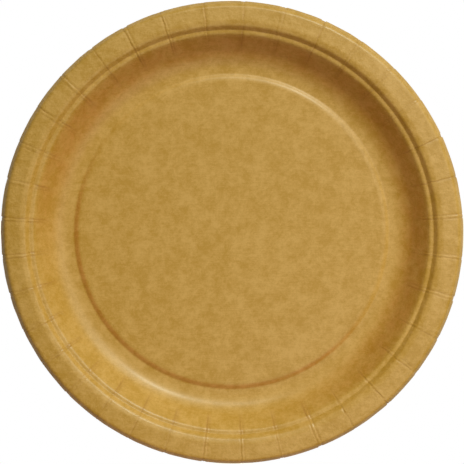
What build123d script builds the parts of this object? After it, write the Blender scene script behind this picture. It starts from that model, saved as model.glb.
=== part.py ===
# Paper plate: one round of paperboard pressed into a plate with a raised middle, a sloping
# side, a small step and a rim that turns down at its edge. The spare board round the side
# and rim is taken up in pleats, each a tuck whose folded edge laps over its neighbour.
# Millimetres. +Z is up, Z = 0 is the flat the plate rests on, the Z axis is its centre line.

import math
import os

from build123d import *

# Driving dimensions
plate_diameter = 229.0
board_thickness = 0.4

# Section from the middle outward, measured on the upper face
panel_rise = 0.85
panel_slope_degrees = 16.0
foot_width = 8.4
side_bend_radius = 12.5
side_slope_degrees = 48.0
side_height = 12.4
step_width = 1.8
step_slope_degrees = 4.0
rise_slope_degrees = 44.0
rise_height = 2.9
rim_bend_radius = 6.0
rim_width = 9.5
rim_slope_degrees = 6.0
lip_bend_radius = 5.0
lip_slope_degrees = 57.0
lip_length = 4.3

# Pleats: how far a folded edge stands up and how wide the drop beside it is
pleat_count = 36
pleat_lift = 0.35
pleat_drop_width = 0.6
pleat_first_degrees = 5.17
pleat_drift_degrees = 2.67
pleat_drift_axis_degrees = 28.4

# Width of the flat that the pleated ring shares with the middle disc
panel_lap = 4.0


def tangent(degrees):
    return math.tan(math.radians(degrees))


def heading(slope_degrees):
    slope = math.radians(slope_degrees)
    return Vector(math.cos(slope), math.sin(slope))


# Straights of the section: run outward, slope, and radius of the bend at the outer end
straights = [
    (panel_lap, 0, 0),
    (panel_rise / tangent(panel_slope_degrees), -panel_slope_degrees, 0),
    (foot_width, 0, side_bend_radius),
    (side_height / tangent(side_slope_degrees), side_slope_degrees, 0),
    (step_width, step_slope_degrees, 0),
    (rise_height / tangent(rise_slope_degrees), rise_slope_degrees, rim_bend_radius),
    (rim_width, -rim_slope_degrees, lip_bend_radius),
    (lip_length * math.cos(math.radians(lip_slope_degrees)), -lip_slope_degrees, 0),
]
first_lifted_corner = 4
ring_inner_radius = plate_diameter / 2 - sum(run for run, slope, radius in straights)
panel_top = board_thickness + panel_rise


def line_below(depth, lift):
    """The section's line at one depth below the upper face, lifted from the top of the side outward."""
    slopes = [0] + [slope for run, slope, radius in straights] + [-lip_slope_degrees]
    radii = [0] + [radius for run, slope, radius in straights]
    corner = Vector(ring_inner_radius, panel_top)
    corners = []
    for index, radius in enumerate(radii):
        turn = slopes[index + 1] - slopes[index]
        sunk = depth - lift if index >= first_lifted_corner else depth
        downward = heading((slopes[index] + slopes[index + 1]) / 2 - 90)
        place = corner + downward * (sunk / math.cos(math.radians(turn / 2)))
        bend = radius + math.copysign(sunk, turn) if radius else 0
        corners.append((place, bend, abs(turn)))
        if index < len(straights):
            run, slope, _ = straights[index]
            corner = corner + Vector(run, run * tangent(slope))
    edges = []
    point = corners[0][0]
    for index in range(1, len(corners)):
        place, bend, turn = corners[index]
        inward = (point - place).normalized()
        bend_start = place + inward * (bend * tangent(turn / 2))
        edges.append(Line(point, bend_start))
        point = bend_start
        if bend:
            outward = (corners[index + 1][0] - place).normalized()
            point = place + outward * (bend * tangent(turn / 2))
            edges.append(TangentArc(bend_start, point, tangent=inward * -1))
    return edges


def section(lift):
    """The board cut through along a radius, standing on the XZ plane."""
    upper = line_below(0, lift)
    lower = line_below(board_thickness, lift)
    ends = [Line(upper[0] @ 0, lower[0] @ 0), Line(upper[-1] @ 1, lower[-1] @ 1)]
    return Plane.XZ * make_face(upper + lower + ends)


# Pleat angles: an even pitch that drifts once round, as the blank sat off centre in the press
folds = []
for index in range(pleat_count):
    even = pleat_first_degrees + 360 / pleat_count * index
    drift = math.sin(math.radians(even - pleat_drift_axis_degrees))
    folds.append(even + pleat_drift_degrees * drift)
folds.append(folds[0] + 360)

# Board bends but does not stretch, so it lies straight across from one radius to the next:
# up to a folded edge, down beside it, and on to halfway between two pleats
flat = section(0)
lifted = section(pleat_lift)
drop_degrees = math.degrees(pleat_drop_width / (plate_diameter / 2))
stations = []
for fold, next_fold in zip(folds, folds[1:]):
    drop = fold + drop_degrees
    stations.append(Rot(0, 0, fold) * lifted)
    stations.append(Rot(0, 0, drop) * flat)
    stations.append(Rot(0, 0, (drop + next_fold) / 2) * flat)
ring = loft(stations + stations[:1], ruled=True)

# The raised middle
disc_radius = ring_inner_radius + panel_lap / 2
disc = Pos(0, 0, panel_top - board_thickness / 2) * Cylinder(disc_radius, board_thickness)
plate = ring + disc

os.makedirs("parts", exist_ok=True)
export_step(plate, "parts/plate.step")
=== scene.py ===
import bpy
import math
import random
from mathutils import Matrix, Vector, noise


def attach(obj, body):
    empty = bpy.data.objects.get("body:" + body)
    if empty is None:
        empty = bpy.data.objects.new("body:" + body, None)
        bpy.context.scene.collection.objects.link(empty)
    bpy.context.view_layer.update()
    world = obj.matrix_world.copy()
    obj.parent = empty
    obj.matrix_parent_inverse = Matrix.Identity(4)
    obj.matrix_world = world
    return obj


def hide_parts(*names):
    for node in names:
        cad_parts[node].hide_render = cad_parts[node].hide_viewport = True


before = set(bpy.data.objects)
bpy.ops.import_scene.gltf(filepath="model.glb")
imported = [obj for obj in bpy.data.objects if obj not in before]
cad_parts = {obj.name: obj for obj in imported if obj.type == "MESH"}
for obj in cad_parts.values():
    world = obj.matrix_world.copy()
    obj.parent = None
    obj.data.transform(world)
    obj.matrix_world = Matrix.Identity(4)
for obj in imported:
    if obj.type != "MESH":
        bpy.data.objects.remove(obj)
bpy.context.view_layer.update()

# Plate
# One round of brown kraft board, coated on its face and pressed warm between two dies. The middle stands a
# little above the foot ring, the side climbs to a small step, and the rim turns down at its cut edge. The
# spare board round the side and rim is gathered in 36 narrow tucks, pressed almost flat.
mm = 0.001
board = 0.4 * mm
# Section of the upper face in millimetres: radius, height, bend radius, and steps round the bend
middle_height = 1.48
section_corners = [
    (76.2, middle_height, 7.0, 8),
    (78.5, 0.40, 2.75, 5),
    (86.90, 0.40, 13.5, 10),
    (98.15, 12.75, 2.4, 6),
    (100.07, 12.89, 0.7, 4),
    (102.04, 15.15, 2.6, 7),
    (104.60, 15.62, 6.0, 5),
    (112.55, 14.80, 2.9, 9),
]
cut_edge = (114.5, 10.95)
# The widest gap between two rings of points, on the rim and elsewhere
rim_gap = 1.3
plain_gap = 2.1


def bend(before, corner, after, radius, steps):
    """Ring positions round one bend of the section, from its first tangent point to its last."""
    way_in = (Vector(corner) - Vector(before)).normalized()
    way_out = (Vector(after) - Vector(corner)).normalized()
    turn = way_in.angle_signed(way_out)
    first = Vector(corner) - way_in * radius * math.tan(abs(turn) / 2)
    side = Vector((way_in.y, -way_in.x)) * (1 if turn > 0 else -1)
    middle = first + side * radius
    spoke = first - middle
    return [middle + Matrix.Rotation(-turn * n / steps, 2) @ spoke for n in range(steps + 1)]


way_points = [(0, middle_height)] + [corner[:2] for corner in section_corners] + [cut_edge]
lip_corner = len(section_corners) - 1
rings = []
for n, corner in enumerate(section_corners):
    bend_radius, steps = corner[2:]
    arc = bend(way_points[n], way_points[n + 1], way_points[n + 2], bend_radius, steps)
    if rings:
        gap = (arc[0] - rings[-1]).length
        extra = int(gap / (rim_gap if n == lip_corner else plain_gap))
        rings += [rings[-1].lerp(arc[0], k / (extra + 1)) for k in range(1, extra + 1)]
    rings += arc
rings += [rings[-1].lerp(Vector(cut_edge), 0.5), Vector(cut_edge)]
rings = [ring * mm for ring in rings]

# The middle is a filled circle, and the rest is drawn out of its edge ring by ring. Sixteen columns of
# points go to each tuck.
pleats = 36
columns = 16
around = pleats * columns
bpy.ops.object.select_all(action="DESELECT")
bpy.ops.mesh.primitive_circle_add(
    vertices=around,
    radius=rings[0].x,
    fill_type="TRIFAN",
    location=(0, 0, rings[0].y),
)
plate = bpy.context.object
plate.name = "plate_board"
plate.data.name = "plate_board"
bpy.ops.object.transform_apply(location=True, rotation=True, scale=True)
bpy.ops.object.mode_set(mode="EDIT")
bpy.ops.mesh.select_mode(type="EDGE")
bpy.ops.mesh.select_all(action="DESELECT")
bpy.ops.mesh.select_non_manifold(extend=False, use_wire=False, use_boundary=True)
for ring, next_ring in zip(rings, rings[1:]):
    grow = next_ring.x / ring.x
    bpy.ops.mesh.extrude_edges_move(TRANSFORM_OT_translate={"value": (0, 0, next_ring.y - ring.y)})
    bpy.ops.transform.resize(value=(grow, grow, 1), center_override=(0, 0, 0))
bpy.ops.mesh.select_all(action="SELECT")
bpy.ops.mesh.normals_make_consistent(inside=False)
bpy.ops.object.mode_set(mode="OBJECT")

# Each tuck is a narrow band of doubled board between two creases. The pitch of the tucks drifts once round
# the plate, as it does when a blank sits off centre in the press. Angles are in degrees.
first_fold = 5.17
fold_drift = 2.67
fold_drift_from = 28.4
even_folds = [first_fold + 360 / pleats * n for n in range(pleats)]
folds = [fold + fold_drift * math.sin(math.radians(fold - fold_drift_from)) for fold in even_folds]
# The draws are seeded, so that each run gives the same plate
hand = random.Random(36)


def wave(sizes, rates):
    """One wave along a crease: its size, its turn in each millimetre, and where it starts."""
    return hand.uniform(*sizes), hand.uniform(*rates), hand.uniform(0, 6.28)


# No two tucks are alike: the creases wander, fade in and out, and die away down the side. In each row
# below, the first column lies halfway to the tuck before, the fifth to eighth cross the left crease, the
# ninth is the middle of the band, and the tenth to thirteenth cross the right crease. Degrees are from the
# middle of the tuck, heights are millimetres square to the board, and line and band say how dark the
# painted shade along the creases and across the band is.
crease_columns = range(4, 13)
band_columns = range(5, 11)
band_middle = 8
tucks = []
for n in range(pleats):
    left = -hand.uniform(0.34, 0.55)
    right = hand.uniform(0.30, 0.52)
    left_cut = hand.uniform(0.08, 0.16)
    right_cut = max(0.02, hand.uniform(-0.03, 0.15))
    swell = hand.uniform(0.02, 0.10)
    band = hand.uniform(-0.02, 0.10)
    dip = hand.uniform(0.0, 0.04)
    bow = hand.uniform(-0.09, 0.09)
    tucks.append({
        "degrees": [
            None, -3.3, -2.1, -1.2,
            left - 0.30, left - 0.11, left + 0.09, left + 0.26,
            (left + right) / 2, right - 0.26, right - 0.09, right + 0.11,
            right + 0.30, 1.2, 2.1, 3.3,
        ],
        "height": [
            bow, 0.6 * bow, 0.3 * swell, 0.6 * swell,
            0.9 * swell, swell - left_cut, band - left_cut, band,
            1.1 * band, band, 0.8 * band - right_cut, -right_cut,
            -dip, -0.7 * dip, 0.3 * bow, 0.7 * bow,
        ],
        "line": [
            0, 0, 0, 0,
            0.05, 2.5 * left_cut, 3 * left_cut, 0.1,
            0.05, 0.05, 3 * right_cut, 2.5 * right_cut,
            0.05, 0, 0, 0,
        ],
        "band": [0, 0, 0, 0, 0.3, 0.9, 1, 0.9, 0.5, 0.5, 0.5, 0.4, 0.2, 0, 0, 0],
        "shade": hand.uniform(0.10, 0.55),
        "foot": hand.uniform(86.5, 91),
        "sway": [[wave((-0.07, 0.07), (0.4, 1.2)) for _ in range(2)] for crease in ("left", "right")],
        "fade": [wave((0.1, 0.7), (0.3, 0.9)) for crease in ("left", "right")],
        "bite": hand.uniform(0.02, 0.30),
    })
# Radii in millimetres: where a tuck has its full height, where the painted shade of its band lies on the
# side, and where the board crumples and ripples
tuck_full = 100
band_full = 94
band_out = (98, 101)
crumpled = (84, 102)
rippled = (88, 104)
# Unevenness along a crease, with the steps that keep the noise of each tuck and crease apart
crease_uneven = 0.6
crease_rate = 0.9
tuck_apart = 7.3
crease_apart = 31.7
# Ripples in the gathered board, and the ragged cut edge: rate, and size in millimetres
ripples = ((190, 0.028), (420, 0.012))
edge_trim = 0.06
edge_rag_rate = 260
edge_rag = 0.09

# The press left the rings a little oval and off centre. At each of these radii, this is how far a ring is
# pulled in along one diagonal, how far it is moved, and which way.
warp_radii = [0, 70, 78, 87, 97, 103, 114.5]
oval_pull = [0, 0, 0.05, 0.30, 0.55, 0.55, 0.30]
off_centre = [0, 0.05, 0.2, 0.15, 0.32, 0.42, 0]
off_centre_degrees = [200, 200, 200, 160, 160, 160, 160]
# The rim has sprung up towards the front, and its lip a little more
front_way = math.radians(282)
rim_lift = 1.2
rim_start = 102
rim_run = 12.5
lip_lift = 0.8
lip = (111, 114.5)
# Towards the back the board bridges the foot of the side, and stands a little off the die
bridge_way = math.radians(85)
bridge_spread = (0.2, 0.9)
bridge_lift = 0.4
bridge_in = (79, 87)
bridge_out = (87, 96)
# Painted shade: the side is browner towards the back, where it faces away from the lamps, and the edge of
# the middle is browner in a narrow line towards the front, where its slope faces away from them
shade_way = math.radians(60)
side_shade_spread = (-0.9, 0.1)
side_in = (81, 90)
side_out = (95.5, 98.5)
edge_shade_spread = (-0.1, 0.5)
line_depth = 1.3
line_in = (75.6, 76.9)
line_out = (77.6, 78.8)


def at_radius(along, amounts):
    """The amount at this radius, between the amounts given for the warp radii."""
    n = max(k for k, radius in enumerate(warp_radii[:-1]) if along >= radius)
    share = (along - warp_radii[n]) / (warp_radii[n + 1] - warp_radii[n])
    return amounts[n] + (amounts[n + 1] - amounts[n]) * share


def ease(value, low, high):
    """Rises smoothly from 0 at low to 1 at high."""
    share = min(max((value - low) / (high - low), 0), 1)
    return share * share * (3 - 2 * share)


def belt(along, rising, falling):
    """1 on a belt of the plate, easing up across its inner margin and down across its outer one."""
    return ease(along, *rising) * (1 - ease(along, *falling))


pitch = 2 * math.pi / around
ring_radii = [ring.x for ring in rings]
square_out = []
for n in range(len(rings)):
    run = rings[min(n + 1, len(rings) - 1)] - rings[max(n - 1, 0)]
    square_out.append(Vector((-run.y, run.x)).normalized())
crease = plate.data.attributes.new("crease", "FLOAT", "POINT")
gathered = plate.data.attributes.new("gathered", "FLOAT", "POINT")
painted_shade = plate.data.attributes.new("painted_shade", "FLOAT", "POINT")
for v in plate.data.vertices:
    out = math.hypot(v.co.x, v.co.y)
    # The point at the centre stays where it is
    if out < ring_radii[0] / 2:
        continue
    along = out / mm
    at = min(range(len(ring_radii)), key=lambda n: abs(ring_radii[n] - out))
    n, column = divmod(round(math.atan2(v.co.y, v.co.x) / pitch) % around, columns)
    tuck = tucks[n]
    side = 0 if column < band_middle else 1
    # Round the plate
    if column == 0:
        angle = (folds[n - 1] - (360 if n == 0 else 0) + folds[n]) / 2
    else:
        angle = folds[n] + tuck["degrees"][column]
    if column in crease_columns:
        for size, rate, start in tuck["sway"][side]:
            angle += size * math.sin(along * rate + start)
    turn = math.radians(angle)
    # Square to the board
    rise = ease(along, tuck["foot"], tuck_full)
    size, rate, start = tuck["fade"][side]
    rise *= 1 - size * (0.5 + 0.5 * math.sin(along * rate + start))
    own_noise = Vector((along * crease_rate, n * tuck_apart, side * crease_apart))
    rise *= 1 + crease_uneven * noise.noise(own_noise)
    ripple = sum(noise.noise(v.co * rate) * size for rate, size in ripples)
    lift = (tuck["height"][column] * rise + ripple * ease(along, *rippled)) * mm
    # Marks that the finish reads: painted shade along the creases and across the bands, where the board is
    # gathered, and painted shade on the side and at the edge of the middle
    shade = tuck["band"][column] * tuck["shade"] * belt(along, (tuck["foot"], band_full), band_out)
    crease.data[v.index].value = tuck["line"][column] * rise + shade
    gathered.data[v.index].value = ease(along, *crumpled)
    # Painted shade: browner on the side at the back and in a line at the edge of the middle at the front,
    # where these face away from the lamps
    side_shade = ease(math.cos(turn - shade_way), *side_shade_spread)
    edge_shade = ease(-math.cos(turn - shade_way), *edge_shade_spread)
    edge_shade_line = line_depth * edge_shade * belt(along, line_in, line_out)
    painted_shade.data[v.index].value = side_shade * belt(along, side_in, side_out) + edge_shade_line
    # Outwards
    if at == len(rings) - 1:
        ragged = edge_trim + edge_rag * noise.noise(v.co * edge_rag_rate)
        out -= (ragged + (tuck["bite"] if column in band_columns else 0)) * mm
    out += square_out[at].x * lift - at_radius(along, oval_pull) * mm * math.sin(2 * turn)
    off_way = math.radians(at_radius(along, off_centre_degrees))
    out += at_radius(along, off_centre) * mm * math.cos(turn - off_way)
    # Upwards
    sprung = rim_lift * max(0, along - rim_start) / rim_run + lip_lift * ease(along, *lip)
    sprung *= mm * max(0, math.cos(turn - front_way))
    bridged = bridge_lift * mm * belt(along, bridge_in, bridge_out)
    bridged *= ease(math.cos(turn - bridge_way), *bridge_spread)
    height = v.co.z + square_out[at].y * lift + sprung + bridged
    v.co = (out * math.cos(turn), out * math.sin(turn), height)

# The board's thickness goes down from the face
bpy.ops.object.modifier_add(type="SOLIDIFY")
plate.modifiers[-1].thickness = board
plate.modifiers[-1].offset = -1
plate.modifiers[-1].use_even_offset = False
bpy.ops.object.modifier_apply(modifier=plate.modifiers[-1].name)
bpy.ops.object.shade_smooth_by_angle(angle=math.radians(60))

# Board finish: brown kraft with a mottled look, fine fibres, painted shade in the creases, on the side and
# at the edge of the middle, and a thin satin coat
kraft = bpy.data.materials.new("kraft_board")
kraft.use_nodes = True
nodes = kraft.node_tree.nodes
links = kraft.node_tree.links
shader = nodes["Principled BSDF"]
place = nodes.new("ShaderNodeTexCoord").outputs["Object"]


def board_noise(where, scale, detail, roughness, distortion):
    """Uneven grain of the board, about 0.5 in the middle of its range."""
    grain = nodes.new("ShaderNodeTexNoise")
    grain.inputs["Scale"].default_value = scale
    grain.inputs["Detail"].default_value = detail
    grain.inputs["Roughness"].default_value = roughness
    grain.inputs["Distortion"].default_value = distortion
    links.new(where, grain.inputs["Vector"])
    return grain.outputs["Fac"]


def board_math(operation, first, second):
    """Two masks of the board added or multiplied together."""
    both = nodes.new("ShaderNodeMath")
    both.operation = operation
    links.new(first, both.inputs[0])
    links.new(second, both.inputs[1])
    return both.outputs["Value"]


def board_range(mask, was, now):
    """A mask of the board stretched from one range to another, and held inside it."""
    stretched = nodes.new("ShaderNodeMapRange")
    stretched.inputs["From Min"].default_value = was[0]
    stretched.inputs["From Max"].default_value = was[1]
    stretched.inputs["To Min"].default_value = now[0]
    stretched.inputs["To Max"].default_value = now[1]
    links.new(mask, stretched.inputs["Value"])
    return stretched.outputs["Result"]


def board_mark(name):
    """One of the marks that were set on the plate's points."""
    mark = nodes.new("ShaderNodeAttribute")
    mark.attribute_name = name
    return mark.outputs["Fac"]


def board_painted_shade(under, share, colour):
    """A colour multiplied by a painted shade colour where its share is high."""
    shade_mix = nodes.new("ShaderNodeMix")
    shade_mix.data_type = "RGBA"
    shade_mix.blend_type = "MULTIPLY"
    share_socket, under_socket, shade_colour_socket = shade_mix.inputs[0], shade_mix.inputs[6], shade_mix.inputs[7]
    shade_colour_socket.default_value = colour
    links.new(share, share_socket)
    links.new(under, under_socket)
    return shade_mix.outputs[2]


def board_relief(height, strength, distance):
    """Bumps in the surface of the board."""
    bumps = nodes.new("ShaderNodeBump")
    bumps.inputs["Strength"].default_value = strength
    bumps.inputs["Distance"].default_value = distance
    links.new(height, bumps.inputs["Height"])
    return bumps


# Fibres: streaks of fine noise laid three ways in the board, each with its angle in degrees and how many
# times longer than wide its streaks are
fibre_lays = ((12, 16), (74, 12), (131, 14))
fibre_fineness = 2600
streaks = []
for degrees, stretch in fibre_lays:
    lay = nodes.new("ShaderNodeMapping")
    lay.inputs["Rotation"].default_value = (0, 0, math.radians(degrees))
    lay.inputs["Scale"].default_value = (fibre_fineness / stretch, fibre_fineness, fibre_fineness / 3)
    links.new(place, lay.inputs["Vector"])
    streaks.append(board_noise(lay.outputs["Vector"], scale=1, detail=1, roughness=0.5, distortion=0.4))
fibres = board_math("ADD", board_math("ADD", streaks[0], streaks[1]), streaks[2])

# Colour: a mottle with the fibres in it, from the darkest board to the palest
mottle = board_noise(place, scale=105, detail=5, roughness=0.95, distortion=0.15)
tone = board_math("ADD", mottle, board_range(fibres, (0.9, 2.1), (-0.06, 0.06)))
board_colours = nodes.new("ShaderNodeValToRGB")
darkest, palest = board_colours.color_ramp.elements
darkest.position = 0.39
darkest.color = (0.491, 0.2535, 0.0275, 1)
palest.position = 0.61
palest.color = (0.610, 0.340, 0.0783, 1)
links.new(tone, board_colours.inputs["Fac"])
# Painted shade: the side towards the back and a narrow line at the edge of the middle towards the front,
# both facing away from the lamps, are browner, in feathery patches
patches = board_noise(place, scale=130, detail=3, roughness=0.6, distortion=1.2)
shaded_patches = board_math("MULTIPLY", board_mark("painted_shade"), board_range(patches, (0.35, 0.65), (0.5, 1)))
colour = board_painted_shade(board_colours.outputs["Color"], shaded_patches, (0.965, 0.805, 0.72, 1))
# Painted shade, darker along the creases and across the bands of the tucks
colour = board_painted_shade(colour, board_mark("crease"), (0.76, 0.66, 0.54, 1))
links.new(colour, shader.inputs["Base Color"])

# Relief: the fine tooth of the fibres all over, and a crumple where the board is gathered
tooth = board_relief(fibres, 0.25, 0.03 * mm)
crumple = board_noise(place, scale=400, detail=3, roughness=0.6, distortion=0)
crumple_share = board_range(board_mark("gathered"), (0, 1), (0.2, 1))
relief = board_relief(board_math("MULTIPLY", crumple, crumple_share), 1, 0.24 * mm)
links.new(tooth.outputs["Normal"], relief.inputs["Normal"])
links.new(relief.outputs["Normal"], shader.inputs["Normal"])

# The coat lies thinner over the paler fibres, so the shine is uneven
links.new(board_range(tone, (0.3, 0.7), (0.5, 0.6)), shader.inputs["Roughness"])
shader.inputs["Coat Weight"].default_value = 0.25
shader.inputs["Coat Roughness"].default_value = 0.25
plate.data.materials.append(kraft)
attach(plate, "root")
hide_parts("plate")

# Table top
# The studio's table, covered with a plain white sheet. The sheet shows as even white, with no shadow on
# it, and it still throws light back up under the rim.
sheet_size = 6
sheet_drop = 0.6 * mm
bpy.ops.object.select_all(action="DESELECT")
bpy.ops.mesh.primitive_plane_add(size=sheet_size, location=(0, 0, -sheet_drop))
table_top = bpy.context.object
table_top.name = "table_top"
bpy.ops.object.transform_apply(location=True, rotation=True, scale=True)
sheet = bpy.data.materials.new("white_sheet")
sheet.use_nodes = True
nodes = sheet.node_tree.nodes
links = sheet.node_tree.links
sheet_shader = nodes["Principled BSDF"]
sheet_shader.inputs["Base Color"].default_value = (0.8, 0.8, 0.8, 1)
sheet_shader.inputs["Roughness"].default_value = 0.9
glow = nodes.new("ShaderNodeEmission")
glow.inputs["Strength"].default_value = 1.0
ray = nodes.new("ShaderNodeLightPath")
shown = nodes.new("ShaderNodeMixShader")
links.new(ray.outputs["Is Camera Ray"], shown.inputs["Fac"])
links.new(sheet_shader.outputs["BSDF"], shown.inputs[1])
links.new(glow.outputs["Emission"], shown.inputs[2])
links.new(shown.outputs["Shader"], nodes["Material Output"].inputs["Surface"])
table_top.data.materials.append(sheet)

# Studio light
# Three softboxes, one compact and two wider, stand at the back and the right and are faintly green. Small
# reflectors close to the plate fill in from the right and the front, a low one is warm, and so is the room.
room = bpy.data.worlds.new("warm_room")
room.use_nodes = True
room.node_tree.nodes["Background"].inputs["Color"].default_value = (1, 0.45, 0.2, 1)
room.node_tree.nodes["Background"].inputs["Strength"].default_value = 0.04
bpy.context.scene.world = room


def softbox(name, azimuth, elevation, distance, width, watts, colour):
    """A round area light aimed at the middle of the plate: degrees, metres and watts."""
    turn = math.radians(azimuth)
    lift = math.radians(elevation)
    level = math.cos(lift)
    spot = Vector((level * math.cos(turn), level * math.sin(turn), math.sin(lift))) * distance
    bpy.ops.object.light_add(type="AREA", location=spot)
    lamp = bpy.context.object
    lamp.name = name
    lamp.rotation_euler = (-spot).to_track_quat("-Z", "Y").to_euler()
    lamp.data.shape = "DISK"
    lamp.data.size = width
    lamp.data.energy = watts
    lamp.data.color = colour
    lamp.visible_camera = False


far = 6
near = 0.45
reflector_width = 0.3
faint_green = (0.9, 1, 0.86)
plain_white = (1, 1, 1)
warm = (1, 0.6, 0.35)
softbox("key_softbox", 61, 50, far, 1.25, 166, faint_green)
softbox("high_softbox", 88, 52, far, 1.7, 62, faint_green)
softbox("right_softbox", 46, 33, far, 2.7, 89, faint_green)
softbox("right_reflector", 18, 55, near, reflector_width, 0.31, plain_white)
softbox("front_reflector", 300, 60, near, reflector_width, 0.29, plain_white)
softbox("low_reflector", 262, 16, near, reflector_width, 0.22, warm)

# Camera
# A long lens almost straight above the plate, with the picture's top along +Y. The width that one pixel
# covers is given at the height of the target, a little below the rim.
picture_pixels = 464
pixel = 0.4949 * mm
lens_mm = 300
sensor_mm = 36
tilt = math.radians(2.1)
tilt_way = math.radians(120)
lean = math.sin(tilt)
back = Vector((lean * math.cos(tilt_way), lean * math.sin(tilt_way), math.cos(tilt)))
right = Vector((0, 1, 0)).cross(back).normalized()
up = back.cross(right)
target = Vector((-0.15 * mm, 0.21 * mm, 11.2 * mm))
half_frame = 0.5 * picture_pixels * pixel
away = half_frame * lens_mm / (sensor_mm / 2)
bpy.ops.object.camera_add(location=target + back * away)
camera = bpy.context.object
camera.name = "photo_camera"
camera.rotation_euler = Matrix((right, up, back)).transposed().to_euler()
camera.data.lens = lens_mm
camera.data.sensor_width = sensor_mm
camera.data.clip_end = 100
bpy.context.scene.camera = camera
bpy.context.scene.view_settings.view_transform = "Standard"
